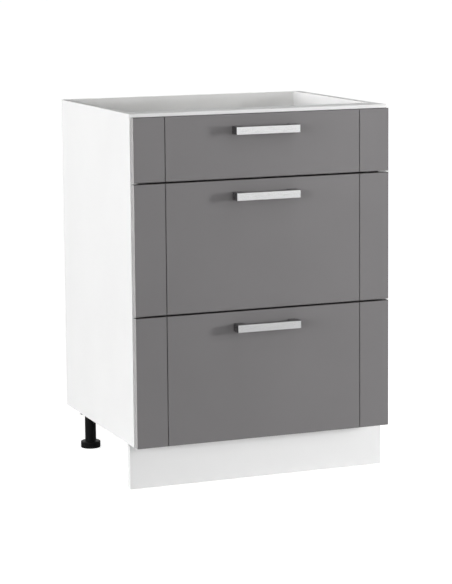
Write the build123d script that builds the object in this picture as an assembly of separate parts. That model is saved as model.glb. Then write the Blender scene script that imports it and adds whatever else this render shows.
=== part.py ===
from build123d import *
import os

# Kitchen base cabinet with three drawers, in millimetres.
# X runs to the right as seen from the front, the drawers open towards -Y, and Z is up from the floor.
# The origin is on the floor, at the middle of the footprint, handles included.

# Carcass: melamine-faced board with a thin back let into a rebate
cabinet_width = 600.0
carcass_height = 720.0
carcass_depth = 482.0
leg_height = 100.0
board = 16.0
back_thickness = 3.0
back_rebate_width = 8.0
back_side_clearance = 0.5
rail_depth = 58.0

# Worktop screw holes in the front rail
worktop_hole_spacing = 450.0
worktop_hole_radius = 2.5

# Plinth, clipped to the front legs
plinth_setback = 28.0
plinth_top_gap = 2.0
plinth_floor_gap = 1.0

# Drawer fronts: a low one at the top, and two tall ones that share the height left below it
drawers = ["top", "middle", "bottom"]
top_front_height = 139.0
front_thickness = 16.0
front_gap = 3.0
front_side_reveal = 1.5
front_top_reveal = 7.0
front_clearance = 2.0
front_edge_radius = 2.0
front_groove_offset = 71.0
front_groove_width = 2.4
front_groove_floor = 1.6
front_groove_depth = 3.0

# Handles: a flat bar whose two ends turn back to the front
handle_length = 148.0
handle_height = 17.5
handle_projection = 28.0
handle_bar = 9.0
handle_foot_width = 20.0
handle_drop = 34.0
handle_inner_radius = 3.0
handle_edge = 0.8

# Drawer boxes
box_heights = {"top": 70.0, "middle": 200.0, "bottom": 200.0}
box_board = 12.0
box_overhang = 5.0
box_lift = 28.0
box_bottom_thickness = 3.0
box_groove_height = 10.0
box_groove_depth = 6.0
box_groove_clearance = 0.2

# Telescopic runners with three nested channels and two ball cages on each side.
# Their length is the longest whole number of steps that fits in the carcass.
runner_step = 50.0
runner_back_room = 10.0
runner_height = 45.0
runner_thickness = 12.7
runner_setback = 2.0
runner_lift = 34.0
sheet = 1.2
runner_gap = 0.3
bend_radius = 1.8
lip_height = 1.0
ball_radius = 2.1
race_depth = 0.4
race_stagger = 2.8
race_clearance = 0.05
cage_web = 0.7
cage_length = 200.0
cage_start = 125.0
cage_pockets = 4
middle_shortening = 5.0
access_hole_length = 14.0
access_hole_height = 9.0
access_hole_inset = 40.0

# Glued dowels that join the boards
dowel_radius = 4.0
dowel_length = 34.0
dowel_depth = 10.0
bore_clearance = 0.1
bore_end_clearance = 0.5
bottom_dowel_inset = 80.0
rail_dowel_pitch = 32.0

# Adjustable legs
leg_inset_side = 48.0
leg_inset_back = 30.0
leg_behind_plinth = 35.0
leg_plate = 54.0
leg_plate_thickness = 3.0
leg_plate_corner = 8.0
leg_rib_reach = 24.0
leg_rib_tip = 17.0
leg_rib_height = 22.0
leg_rib_thickness = 2.5
leg_ribs = 4
post_radius = 13.0
foot_radius = 23.0
foot_height = 15.0
stem_radius = 9.0
stem_length = 60.0
stem_clearance = 0.1
foot_gap = 0.3
clip_fit = 0.1

# Plinth clips
clip_wall = 2.5
clip_height = 18.0
clip_opening = 20.0
clip_base_width = 36.0
clip_base_height = 30.0
clip_base_thickness = 3.0
clip_arm_width = 10.0

# Places that follow from the sizes above
half_width = cabinet_width / 2
inner_half = half_width - board
cabinet_height = leg_height + carcass_height
overall_depth = carcass_depth + front_clearance + front_thickness + handle_projection
back_y = overall_depth / 2
board_back_y = back_y - back_thickness
carcass_front_y = back_y - carcass_depth
front_back_y = carcass_front_y - front_clearance
front_face_y = front_back_y - front_thickness
plinth_back_y = carcass_front_y + plinth_setback + board


def front_limits():
    """Bottom and top edge of each drawer front, stacked down to the lower edge of the carcass."""
    level = cabinet_height - front_top_reveal
    tall_fronts = len(drawers) - 1
    tall_height = (level - leg_height - top_front_height - tall_fronts * front_gap) / tall_fronts
    limits = {}
    for name in drawers:
        height = top_front_height if name == "top" else tall_height
        limits[name] = (level - height, level)
        level -= height + front_gap
    return limits


front_bottom_z = {name: low for name, (low, high) in front_limits().items()}
front_top_z = {name: high for name, (low, high) in front_limits().items()}
box_floor_z = {name: front_bottom_z[name] + box_lift for name in drawers}
runner_z = {name: box_floor_z[name] + runner_lift for name in drawers}
handle_z = {name: front_top_z[name] - handle_drop for name in drawers}


def block(x, y, z):
    """A rectangular board between a low and a high limit along each axis."""
    size = [high - low for low, high in (x, y, z)]
    centre = [(high + low) / 2 for low, high in (x, y, z)]
    return Pos(*centre) * Box(*size)


def round_bar(start, end, radius):
    """A straight round bar, or the tool for a round hole, from one point to another."""
    axis = Vector(*end) - Vector(*start)
    return extrude(Plane(origin=start, z_dir=axis) * Circle(radius), amount=axis.length)


def both_sides(part):
    """The part as made for the left side, and its mirror image for the right side."""
    return [part, mirror(part, about=Plane.YZ)]


def group(parts):
    """Equal pieces kept together as one node of separate solids."""
    return Compound([solid for part in parts for solid in part.solids()])


# ---------------------------------------------------------------- board joints

bottom_mid_z = leg_height + board / 2
rail_mid_z = cabinet_height - board / 2
rail_mid_y = carcass_front_y + rail_depth / 2
bottom_dowels = [
    (carcass_front_y + bottom_dowel_inset, bottom_mid_z),
    (board_back_y - bottom_dowel_inset, bottom_mid_z),
]
rail_dowels = [
    (rail_mid_y - rail_dowel_pitch / 2, rail_mid_z),
    (rail_mid_y + rail_dowel_pitch / 2, rail_mid_z),
]


def dowel(place):
    """A dowel across the joint of a level board and the left side, at (y, z)."""
    start = -inner_half - dowel_depth
    return round_bar((start, *place), (start + dowel_length, *place), dowel_radius)


def dowel_bore(place):
    """Tool for the two bores that take a dowel, a little wider and deeper than it."""
    start = -inner_half - dowel_depth - bore_end_clearance
    end = -inner_half - dowel_depth + dowel_length + bore_end_clearance
    return round_bar((start, *place), (end, *place), dowel_radius + bore_clearance)


def wooden_dowels():
    """Dowels between the sides and the two level boards, on the left and on the right."""
    dowels = []
    for place in bottom_dowels + rail_dowels:
        dowels += both_sides(dowel(place))
    return group(dowels)


# ---------------------------------------------------------------- carcass


def side_panel():
    """Left side panel, rebated along its rear inner edge, with blind bores for the dowels."""
    panel = block((-half_width, -inner_half), (carcass_front_y, back_y), (leg_height, cabinet_height))
    rebate = block((-half_width + board - back_rebate_width, -inner_half + board),
                   (board_back_y, back_y + board), (leg_height - board, cabinet_height + board))
    panel -= rebate
    for place in bottom_dowels + rail_dowels:
        panel -= dowel_bore(place)
    return panel


def level_board(y, z, dowels):
    """A level board between the sides, bored for its dowels at both ends."""
    panel = block((-inner_half, inner_half), y, z)
    for place in dowels:
        for bore in both_sides(dowel_bore(place)):
            panel -= bore
    return panel


def bottom_panel():
    """Bottom board, level with the lower edges of the sides."""
    return level_board((carcass_front_y, board_back_y), (leg_height, leg_height + board), bottom_dowels)


def front_top_rail():
    """Flat rail across the open top, flush with the sides, with holes for the worktop screws."""
    rail = level_board((carcass_front_y, carcass_front_y + rail_depth),
                       (cabinet_height - board, cabinet_height), rail_dowels)
    for x in (-worktop_hole_spacing / 2, worktop_hole_spacing / 2):
        rail -= round_bar((x, rail_mid_y, cabinet_height - 2 * board),
                          (x, rail_mid_y, cabinet_height + board), worktop_hole_radius)
    return rail


def back_panel():
    """Thin back in the rebates of the sides, over the rear edge of the bottom."""
    half = half_width - board + back_rebate_width - back_side_clearance
    return block((-half, half), (board_back_y, back_y), (leg_height, cabinet_height))


def plinth_panel():
    """Plinth board across the whole width, set back under the drawers."""
    return block((-half_width, half_width), (plinth_back_y - board, plinth_back_y),
                 (plinth_floor_gap, leg_height - plinth_top_gap))


# ---------------------------------------------------------------- legs

leg_plate_z = leg_height - leg_plate_thickness
clip_centre_z = (foot_height + leg_plate_z - leg_rib_height) / 2
front_leg_y = plinth_back_y + leg_behind_plinth
rear_leg_y = back_y - leg_inset_back
leg_places = {
    "front_left": (-half_width + leg_inset_side, front_leg_y),
    "front_right": (half_width - leg_inset_side, front_leg_y),
    "rear_left": (-half_width + leg_inset_side, rear_leg_y),
    "rear_right": (half_width - leg_inset_side, rear_leg_y),
}


def turned(points):
    """A turned piece about Z, from its half profile of (radius, height) points."""
    outline = make_face(Plane.XZ * Polyline(*points, close=True))
    return revolve(outline, axis=Axis.Z)


def leg():
    """Moulded leg: a screw-on plate, a tube that takes the stem of the foot, and ribs between them."""
    bore = stem_radius + stem_clearance
    outline = Rectangle(leg_plate, leg_plate)
    plate = extrude(Pos(0, 0, leg_plate_z) * chamfer(outline.vertices(), leg_plate_corner),
                    amount=leg_plate_thickness)
    low = foot_height + foot_gap
    tube = turned([(bore, low), (post_radius, low), (post_radius, leg_plate_z), (bore, leg_plate_z)])
    rib_root = (bore + post_radius) / 2
    rib_face = make_face(Plane.XZ * Polyline(
        (rib_root, leg_plate_z), (leg_rib_reach, leg_plate_z), (leg_rib_reach, leg_plate_z - leg_rib_tip),
        (rib_root, leg_plate_z - leg_rib_height), close=True))
    rib = extrude(rib_face, amount=leg_rib_thickness / 2, both=True)
    whole = plate + tube
    for index in range(leg_ribs):
        whole += Rot(0, 0, index * 360 / leg_ribs) * rib
    return whole


def adjustable_foot():
    """Round foot with the stem that screws up into the leg."""
    top = foot_height + stem_length
    return turned([
        (0, 0), (foot_radius, 0), (foot_radius, foot_height),
        (stem_radius, foot_height), (stem_radius, top), (0, top),
    ])


def plinth_clip():
    """Clip behind the plinth: a base on the board, an arm and a spring ring round the left front leg."""
    x, y = leg_places["front_left"]
    ring_inner = post_radius + clip_fit
    ring_outer = ring_inner + clip_wall
    reach = y - plinth_back_y
    arm = Pos(0, -reach / 2) * Rectangle(clip_arm_width, reach)
    ring = Circle(ring_outer) + arm - Circle(ring_inner)
    ring -= Pos(0, ring_outer) * Rectangle(clip_opening, 2 * (ring_outer - ring_inner) + ring_inner)
    ring = Pos(x, y, clip_centre_z - clip_height / 2) * ring
    base = block((x - clip_base_width / 2, x + clip_base_width / 2),
                 (plinth_back_y, plinth_back_y + clip_base_thickness),
                 (clip_centre_z - clip_base_height / 2, clip_centre_z + clip_base_height / 2))
    return extrude(ring, amount=clip_height) + base


# ---------------------------------------------------------------- telescopic runners

# Across the runner, u runs from the cabinet side (0) to the drawer side (the full thickness).
# The balls of the outer cage roll between the cabinet rail and the middle rail,
# and those of the inner cage between the middle rail and the drawer rail.
outer_half = runner_height / 2
ball_space = 2 * (ball_radius - race_depth) + 2 * race_clearance
middle_half = outer_half - sheet - ball_space
drawer_half = middle_half - sheet - ball_space
outer_ball_z = outer_half - sheet - ball_space / 2
inner_ball_z = middle_half - sheet - ball_space / 2
outer_cage_u = sheet + runner_gap
middle_web_u = outer_cage_u + cage_web + runner_gap
inner_cage_u = middle_web_u + sheet + runner_gap
drawer_web_u = runner_thickness - sheet
middle_tip_u = drawer_web_u - runner_gap
inner_ball_u = middle_tip_u - sheet - ball_radius
outer_ball_u = inner_ball_u - race_stagger
outer_tip_u = outer_ball_u + ball_radius + runner_gap + sheet
drawer_tip_u = max(inner_ball_u - ball_radius, inner_cage_u + cage_web + runner_gap)
rail_front_y = carcass_front_y + runner_setback
runner_steps = int((board_back_y - runner_back_room - rail_front_y) / runner_step)
runner_length = runner_steps * runner_step
rail_back_y = rail_front_y + runner_length


def channel_section(web_u, tip_u, half_height, lip=0.0):
    """Section of a folded channel: a web at one side, two flanges, and lips at the open tips."""
    inward = sheet if tip_u > web_u else -sheet
    depth = abs(tip_u - web_u)
    outline = Pos((web_u + tip_u) / 2, 0) * Rectangle(depth, 2 * half_height)
    at_web = [v for v in outline.vertices() if abs(v.X - web_u) < sheet / 2]
    outline = fillet(at_web, bend_radius)
    hollow_tip = tip_u - (inward if lip else 0)
    hollow = Pos((web_u + inward + hollow_tip) / 2, 0) * Rectangle(
        abs(hollow_tip - web_u - inward), 2 * (half_height - sheet))
    mouth = Pos(tip_u, 0) * Rectangle(4 * sheet, 2 * (half_height - sheet - lip))
    return outline - hollow - mouth


def races(u, z):
    """Round ball grooves at the same place in the upper and the lower half."""
    radius = ball_radius + race_clearance
    return Pos(u, z) * Circle(radius) + Pos(u, -z) * Circle(radius)


def cabinet_rail_section():
    """Outer channel, screwed to the cabinet side."""
    return channel_section(0, outer_tip_u, outer_half, lip_height) - races(outer_ball_u, outer_ball_z)


def middle_rail_section():
    """Middle channel, with a race outside for one row of balls and inside for the other."""
    section = channel_section(middle_web_u, middle_tip_u, middle_half, lip_height)
    return section - races(outer_ball_u, outer_ball_z) - races(inner_ball_u, inner_ball_z)


def drawer_rail_section():
    """Inner channel, turned the other way round and screwed to the drawer."""
    return channel_section(runner_thickness, drawer_tip_u, drawer_half) - races(inner_ball_u, inner_ball_z)


def along_runner(section, z, front, back):
    """Extrude a runner section along Y on the left side, with its middle at height z."""
    plane = Plane(origin=(-inner_half, back, z), x_dir=(1, 0, 0), z_dir=(0, -1, 0))
    return extrude(plane * section, amount=back - front)


def rail_pair(section, z):
    """A left and a right rail of the full runner length."""
    return group(both_sides(along_runner(section, z, rail_front_y, rail_back_y)))


def middle_rails(z):
    """Middle rails, a little shorter, with holes to reach the screws of the cabinet rails."""
    back = rail_back_y - middle_shortening
    rail = along_runner(middle_rail_section(), z, rail_front_y, back)
    for y in (rail_front_y + access_hole_inset, back - access_hole_inset):
        rail -= Pos(-inner_half + middle_web_u, y, z) * Box(
            3 * sheet, access_hole_length, access_hole_height)
    return group(both_sides(rail))


def ball_cage(web_u, tip_u, ball_u, ball_z, z):
    """Left and right moulded cages, which fill the space of the balls and have a pocket for each."""
    half = ball_z + ball_space / 2 - runner_gap
    hollow_half = ball_z - ball_space / 2 + runner_gap
    outline = Pos((web_u + tip_u) / 2, 0) * Rectangle(tip_u - web_u, 2 * half)
    hollow = Pos((web_u + cage_web + tip_u + cage_web) / 2, 0) * Rectangle(
        tip_u - web_u, 2 * hollow_half)
    front = rail_front_y + cage_start
    strip = along_runner(outline - hollow, z, front, front + cage_length)
    pocket = 2 * (ball_radius + race_clearance)
    pitch = cage_length / cage_pockets
    for index in range(cage_pockets):
        y = front + pitch * (index + 0.5)
        for row_z in (z - ball_z, z + ball_z):
            strip -= Pos(-inner_half + ball_u, y, row_z) * Box(pocket, pocket, ball_space)
    return group(both_sides(strip))


def outer_ball_cages(z):
    """Cages between the cabinet rails and the middle rails of one drawer."""
    tip = outer_tip_u - sheet - runner_gap
    return ball_cage(outer_cage_u, tip, outer_ball_u, outer_ball_z, z)


def inner_ball_cages(z):
    """Cages between the middle rails and the drawer rails of one drawer."""
    tip = middle_tip_u - sheet - runner_gap
    return ball_cage(inner_cage_u, tip, inner_ball_u, inner_ball_z, z)


# ---------------------------------------------------------------- drawers

box_half = inner_half - runner_thickness
box_inner_half = box_half - box_board
box_back_y = front_back_y + runner_length + box_overhang
bottom_groove = box_bottom_thickness + box_groove_clearance


def drawer_front(name):
    """Front board with rounded front edges and two grooves from top to bottom."""
    half = half_width - front_side_reveal
    low, high = front_bottom_z[name], front_top_z[name]
    panel = block((-half, half), (front_face_y, front_back_y), (low, high))
    face = panel.faces().sort_by(Axis.Y)[0]
    panel = fillet(face.edges(), front_edge_radius)
    groove = make_face(Polyline(
        (-front_groove_width / 2, front_face_y),
        (front_groove_width / 2, front_face_y),
        (front_groove_floor / 2, front_face_y + front_groove_depth),
        (-front_groove_floor / 2, front_face_y + front_groove_depth),
        close=True))
    for x in (-half + front_groove_offset, half - front_groove_offset):
        panel -= extrude(Pos(x, 0, low - board) * groove, amount=high - low + 2 * board)
    return panel


def handle(name):
    """Bar handle cut from one profile: a flat grip with two solid ends and rounded inner corners."""
    z = handle_z[name]
    half = handle_length / 2
    outline = Pos(0, front_face_y - handle_projection / 2) * Rectangle(handle_length, handle_projection)
    gap_depth = handle_projection - handle_bar
    gap = Pos(0, front_face_y - gap_depth / 2) * Rectangle(
        handle_length - 2 * handle_foot_width, gap_depth)
    grip_corners = gap.vertices().sort_by(Axis.Y)[:2]
    gap = fillet(grip_corners, handle_inner_radius)
    bar = extrude(Pos(0, 0, z - handle_height / 2) * (outline - gap), amount=handle_height)
    face = bar.faces().sort_by(Axis.Y)[0]
    return chamfer(face.edges(), handle_edge)


def groove_z(name):
    """Low and high limit of the groove that holds the bottom of a drawer box."""
    low = box_floor_z[name] + box_groove_height
    return (low, low + bottom_groove)


def box_side(name):
    """Left side of a drawer box, grooved for the bottom."""
    z = (box_floor_z[name], box_floor_z[name] + box_heights[name])
    side = block((-box_half, -box_inner_half), (front_back_y, box_back_y), z)
    groove = block((-box_inner_half - box_groove_depth, -box_inner_half + box_board),
                   (front_back_y + box_board - box_groove_depth,
                    box_back_y - box_board + box_groove_depth), groove_z(name))
    return side - groove


def box_cross(name, y, inward):
    """Front or back board of a drawer box, between its sides, grooved on its inner face."""
    z = (box_floor_z[name], box_floor_z[name] + box_heights[name])
    cross = block((-box_inner_half, box_inner_half), y, z)
    inner_face = y[1] if inward > 0 else y[0]
    edges = sorted((inner_face - inward * box_groove_depth, inner_face + inward * box_board))
    return cross - block((-half_width, half_width), edges, groove_z(name))


def box_bottom(name):
    """Thin bottom, held in the grooves of all four boards."""
    reach = box_groove_depth - box_groove_clearance
    half = box_inner_half + reach
    low = groove_z(name)[0]
    return block((-half, half),
                 (front_back_y + box_board - reach, box_back_y - box_board + reach),
                 (low, low + box_bottom_thickness))


# ---------------------------------------------------------------- nodes


def carcass_nodes():
    """Pieces that stand still when the drawers move."""
    left = side_panel()
    one_leg = leg()
    nodes = {
        "left_side_panel": left,
        "right_side_panel": mirror(left, about=Plane.YZ),
        "bottom_panel": bottom_panel(),
        "front_top_rail": front_top_rail(),
        "back_panel": back_panel(),
        "plinth_panel": plinth_panel(),
        "plinth_clips": group(both_sides(plinth_clip())),
        "wooden_dowels": wooden_dowels(),
        "legs": group(Pos(x, y, 0) * one_leg for x, y in leg_places.values()),
    }
    for place, (x, y) in leg_places.items():
        nodes[f"{place}_foot"] = Pos(x, y, 0) * adjustable_foot()
    return nodes


def drawer_nodes(name):
    """Pieces of one drawer and of its two runners."""
    left_side = box_side(name)
    z = runner_z[name]
    nodes = {
        "front": drawer_front(name),
        "handle": handle(name),
        "box_left_side": left_side,
        "box_right_side": mirror(left_side, about=Plane.YZ),
        "box_inner_front": box_cross(name, (front_back_y, front_back_y + box_board), 1),
        "box_back": box_cross(name, (box_back_y - box_board, box_back_y), -1),
        "box_bottom": box_bottom(name),
        "cabinet_rails": rail_pair(cabinet_rail_section(), z),
        "middle_rails": middle_rails(z),
        "drawer_rails": rail_pair(drawer_rail_section(), z),
        "outer_ball_cages": outer_ball_cages(z),
        "inner_ball_cages": inner_ball_cages(z),
    }
    return {f"{name}_{part}": solid for part, solid in nodes.items()}


def build():
    """Write every node to its own STEP file."""
    os.makedirs("parts", exist_ok=True)
    nodes = carcass_nodes()
    for name in drawers:
        nodes.update(drawer_nodes(name))
    for name, solid in nodes.items():
        export_step(solid, f"parts/{name}.step")


build()
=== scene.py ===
"""Kitchen base cabinet with three drawers: its finishes, small fittings, studio and camera.

Everything is in metres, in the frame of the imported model. X runs to the right as seen from the
front, the drawers open towards -Y, and Z is up from the floor.
"""
import logging
import math
from dataclasses import dataclass, field
from enum import Enum
from typing import Callable, Iterable, Optional, Sequence

import bmesh
import bpy
from mathutils import Matrix, Vector


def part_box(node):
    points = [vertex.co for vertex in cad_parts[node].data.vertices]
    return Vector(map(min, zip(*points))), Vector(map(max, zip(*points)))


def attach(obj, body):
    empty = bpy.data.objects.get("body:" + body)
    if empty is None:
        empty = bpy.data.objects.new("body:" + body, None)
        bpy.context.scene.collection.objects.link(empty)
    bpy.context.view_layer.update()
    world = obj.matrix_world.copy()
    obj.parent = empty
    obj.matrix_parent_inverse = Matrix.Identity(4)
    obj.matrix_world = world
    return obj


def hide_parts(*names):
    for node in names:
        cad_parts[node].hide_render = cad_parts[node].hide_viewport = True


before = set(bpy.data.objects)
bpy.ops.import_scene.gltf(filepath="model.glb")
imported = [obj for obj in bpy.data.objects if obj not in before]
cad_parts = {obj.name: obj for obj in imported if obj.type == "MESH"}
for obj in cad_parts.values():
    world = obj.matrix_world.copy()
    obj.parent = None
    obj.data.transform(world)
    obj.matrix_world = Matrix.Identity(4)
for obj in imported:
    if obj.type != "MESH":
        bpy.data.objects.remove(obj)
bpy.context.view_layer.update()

MM = 0.001
WHITE = (1.0, 1.0, 1.0, 1.0)
DRAWERS = ("top", "middle", "bottom")
LEG_PLACES = ("front_left", "front_right", "rear_left", "rear_right")
Colour = tuple[float, float, float]
Point = tuple[float, float, float]
Spot = tuple[Point, Point]
Material = bpy.types.Material
Piece = bpy.types.Object
Socket = bpy.types.NodeSocket

logging.basicConfig(level=logging.INFO, format="%(name)s: %(message)s")
log = logging.getLogger("cabinet")


class Side(Enum):
    """The left and the right half of the cabinet, as the sign of X."""

    LEFT = -1
    RIGHT = 1


class HeadForm(Enum):
    """How a screw head ends: a rounded pan head, or a flat head that lies flush."""

    PAN = "pan"
    FLAT = "flat"


# ------------------------------------------------------------------ node trees


class Nodes:
    """A node tree, with short calls that add nodes and join them."""

    def __init__(self, tree: bpy.types.NodeTree) -> None:
        """Work on a tree that is there already."""
        self.tree = tree

    def feed(self, node: bpy.types.Node, inputs: dict[object, object]) -> None:
        """Join or set inputs of a node.

        Args:
            node: The node.
            inputs: For each input, by name or index, an output to join it to, or a plain value.
        """
        for key, value in inputs.items():
            if isinstance(value, Socket):
                self.tree.links.new(value, node.inputs[key])
            else:
                node.inputs[key].default_value = value

    def add(self, kind: str, inputs: Optional[dict[object, object]] = None, **settings: object
            ) -> bpy.types.Node:
        """Add a node.

        Args:
            kind: Type of the node.
            inputs: What its inputs are joined or set to.
            **settings: Its properties by name.

        Returns:
            The new node.
        """
        node = self.tree.nodes.new(kind)
        for key, value in settings.items():
            setattr(node, key, value)
        self.feed(node, inputs or {})
        return node

    def math(self, operation: str, *values: object) -> Socket:
        """The result of one step of arithmetic on sockets or numbers."""
        return self.add("ShaderNodeMath", dict(enumerate(values)), operation=operation).outputs[0]

    def ramp(self, value: object, low: float, high: float, start: float = 0.0, end: float = 1.0) -> Socket:
        """Map the range from low to high smoothly to the one from start to end."""
        inputs = dict(enumerate((value, low, high, start, end)))
        return self.add("ShaderNodeMapRange", inputs, interpolation_type="SMOOTHSTEP").outputs[0]

    def along(self, vector: Socket, direction: Point) -> Socket:
        """How far a vector points in a direction."""
        node = self.add("ShaderNodeVectorMath", {0: vector, 1: direction}, operation="DOT_PRODUCT")
        return node.outputs["Value"]

    def coordinate(self, vector: Socket, index: int) -> Socket:
        """One of the three coordinates of a vector."""
        return self.add("ShaderNodeSeparateXYZ", {0: vector}).outputs[index]


class Graph(Nodes):
    """The nodes of one material, whose patterns lie in object space.

    The three numbers are the mix node's inputs for its two colours and its output for a colour.
    """

    MIX_FIRST, MIX_SECOND, MIX_RESULT = 6, 7, 2

    def __init__(self, name: str, roughness: float, metallic: float = 0.0, specular: float = 0.5) -> None:
        """Start a material with one principled shader.

        Args:
            name: Name of the material.
            roughness: Roughness of its surface.
            metallic: 1 for bare metal, 0 for everything else.
            specular: Level of the plain reflection.
        """
        self.material = bpy.data.materials.new(name)
        self.material.use_nodes = True
        super().__init__(self.material.node_tree)
        self.shader = self.tree.nodes["Principled BSDF"]
        self.feed(self.shader, {"Roughness": roughness, "Metallic": metallic, "Specular IOR Level": specular})
        self.texture = self.add("ShaderNodeTexCoord")
        self.place = self.texture.outputs["Object"]

    @staticmethod
    def opaque(colour: object) -> object:
        """Three numbers with an alpha of 1, or a socket as it is."""
        return colour if isinstance(colour, Socket) else (*colour, 1.0)

    def noise(self, scale: float, detail: float = 2.0, stretch: Point = (1, 1, 1)) -> Socket:
        """Smooth noise from 0 to 1.

        Args:
            scale: Cells in a metre.
            detail: Number of finer layers.
            stretch: Scale of each axis, where a small one draws streaks along that axis.

        Returns:
            The value of the noise.
        """
        mapping = self.add("ShaderNodeMapping", {"Vector": self.place, "Scale": stretch})
        inputs = {"Vector": mapping.outputs[0], "Scale": scale, "Detail": detail}
        return self.add("ShaderNodeTexNoise", inputs).outputs["Fac"]

    def chips(self, scale: float) -> Socket:
        """A random grey for each chip of a broken-up surface, with that many chips in a metre."""
        cells = self.add("ShaderNodeTexVoronoi", {"Vector": self.place, "Scale": scale})
        return self.add("ShaderNodeSeparateColor", {0: cells.outputs["Color"]}).outputs[0]

    def mix(self, share: object, first: object, second: object) -> Socket:
        """Blend two colours.

        Args:
            share: Share of the second colour.
            first: Colour where the share is 0, as a socket or three numbers.
            second: Colour where the share is 1.

        Returns:
            The blended colour.
        """
        inputs = {0: share, self.MIX_FIRST: self.opaque(first), self.MIX_SECOND: self.opaque(second)}
        return self.add("ShaderNodeMix", inputs, data_type="RGBA").outputs[self.MIX_RESULT]

    def facing(self, direction: Point) -> Socket:
        """How far the surface faces a direction: 1 straight at it, and 0 or less at its side."""
        return self.along(self.texture.outputs["Normal"], direction)

    def axis(self, index: int) -> Socket:
        """One coordinate of the place on the object, in metres."""
        return self.coordinate(self.place, index)

    def line(self, index: int, place: float, width: float) -> Socket:
        """A hairline across one axis: 1 on the line and 0 beside it."""
        off = self.math("ABSOLUTE", self.math("SUBTRACT", self.axis(index), place))
        return self.ramp(off, width * 0.3, width * 0.7, 1.0, 0.0)

    def uneven(self, noise: Socket, middle: float, sway: float) -> Socket:
        """A roughness that wanders with a noise, by a sway to each side of its middle."""
        return self.ramp(noise, 0.2, 0.8, middle - sway, middle + sway)

    def relief(self, height: Socket, strength: float, depth: float) -> None:
        """Give the surface a bump, where a height of 1 stands for the depth in metres."""
        bump = self.add("ShaderNodeBump", {"Strength": strength, "Distance": depth, "Height": height})
        self.feed(self.shader, {"Normal": bump.outputs[0]})

    def finish(self, colour: object, roughness: Optional[Socket] = None) -> Material:
        """Set the colour, and the roughness where it varies.

        Args:
            colour: Base colour as a socket or three numbers.
            roughness: Roughness, or nothing where it stays as it is.

        Returns:
            The material.
        """
        self.feed(self.shader, {"Base Color": self.opaque(colour)})
        if roughness is not None:
            self.feed(self.shader, {"Roughness": roughness})
        return self.material


def tinted(colour: Colour, share: float, lift: float = 0.0) -> Colour:
    """A colour made paler or darker by a share, with a little added to each channel."""
    return tuple(min(1.0, channel * share + lift) for channel in colour)


# ------------------------------------------------------------------ finishes


@dataclass(frozen=True)
class Melamine:
    """White melamine facing on chipboard, with glued edge bands and raw chipboard elsewhere."""

    white: Colour = (0.86, 0.86, 0.86)
    roughness: float = 0.50
    sway: float = 0.04
    specular: float = 0.15
    chip_dark: Colour = (0.30, 0.19, 0.10)
    chip_light: Colour = (0.62, 0.46, 0.29)
    chip_relief: float = 3.0
    glue: Colour = (0.60, 0.59, 0.57)
    glue_width: float = 0.25 * MM
    band: float = 0.8 * MM

    def material(self, name: str, raw: Sequence[Point] = (), seams: Sequence[tuple[int, float]] = ()
                 ) -> Material:
        """Make the board's material.

        Args:
            name: Name of the material.
            raw: Directions of the faces that are bare chipboard.
            seams: Glue lines of the edge bands, each as an axis and a place on it.

        Returns:
            The material.
        """
        graph = Graph(name, self.roughness, specular=self.specular)
        pearl = graph.noise(1600.0, detail=1.0)
        cloud = graph.noise(7.0, detail=3.0)
        colour = graph.mix(graph.ramp(cloud, 0.3, 0.7), self.white, tinted(self.white, 0.985))
        for axis, place in seams:
            colour = graph.mix(graph.line(axis, place, self.glue_width), colour, self.glue)
        height = pearl
        if raw:
            share = 0.0
            for direction in raw:
                share = graph.math("MAXIMUM", share, graph.ramp(graph.facing(direction), 0.6, 0.8))
            chips = graph.chips(420.0)
            fines = graph.noise(1500.0, detail=3.0)
            tone = graph.math("MULTIPLY", graph.math("ADD", chips, fines), 0.5)
            wood = graph.mix(graph.ramp(tone, 0.2, 0.8), self.chip_dark, self.chip_light)
            colour = graph.mix(share, colour, wood)
            crumbs = graph.math("MULTIPLY", graph.math("MULTIPLY", chips, share), self.chip_relief)
            height = graph.math("ADD", pearl, crumbs)
        graph.relief(height, strength=0.12, depth=0.05 * MM)
        return graph.finish(colour, graph.uneven(graph.noise(60.0), self.roughness, self.sway))


@dataclass(frozen=True)
class Hardboard:
    """Thin hardboard, lacquered white on one face and brown fibre on the other."""

    white: Colour = (0.84, 0.84, 0.83)
    fibre_dark: Colour = (0.21, 0.12, 0.06)
    fibre_light: Colour = (0.36, 0.22, 0.12)
    lacquer_roughness: float = 0.4
    fibre_roughness: float = 0.75
    specular: float = 0.15

    def material(self, name: str, bare: Point, pins: Optional["PinRows"] = None) -> Material:
        """Make the hardboard's material.

        Args:
            name: Name of the material.
            bare: Direction that the brown face looks.
            pins: Rows of flush steel pins on the brown face, if it has them.

        Returns:
            The material.
        """
        graph = Graph(name, self.lacquer_roughness, specular=self.specular)
        share = graph.ramp(graph.facing(bare), 0.5, 0.7)
        felt = graph.noise(900.0, detail=4.0)
        blotch = graph.noise(16.0, detail=3.0)
        tone = graph.math("ADD", graph.math("MULTIPLY", felt, 0.85), graph.math("MULTIPLY", blotch, 0.15))
        fibre = graph.mix(graph.ramp(tone, 0.35, 0.65), self.fibre_dark, self.fibre_light)
        lacquer = graph.mix(graph.ramp(blotch, 0.3, 0.7), self.white, tinted(self.white, 0.96))
        colour = graph.mix(share, lacquer, fibre)
        rough = graph.ramp(share, 0.0, 1.0, self.lacquer_roughness, self.fibre_roughness)
        if pins is not None:
            heads = graph.math("MULTIPLY", pins.heads(graph), share)
            colour = graph.mix(heads, colour, pins.steel)
            rough = graph.math("SUBTRACT", rough, graph.math("MULTIPLY", heads, pins.polish))
            graph.feed(graph.shader, {"Metallic": heads})
        graph.relief(graph.math("MULTIPLY", felt, share), strength=0.4, depth=0.1 * MM)
        return graph.finish(colour, rough)


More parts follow.
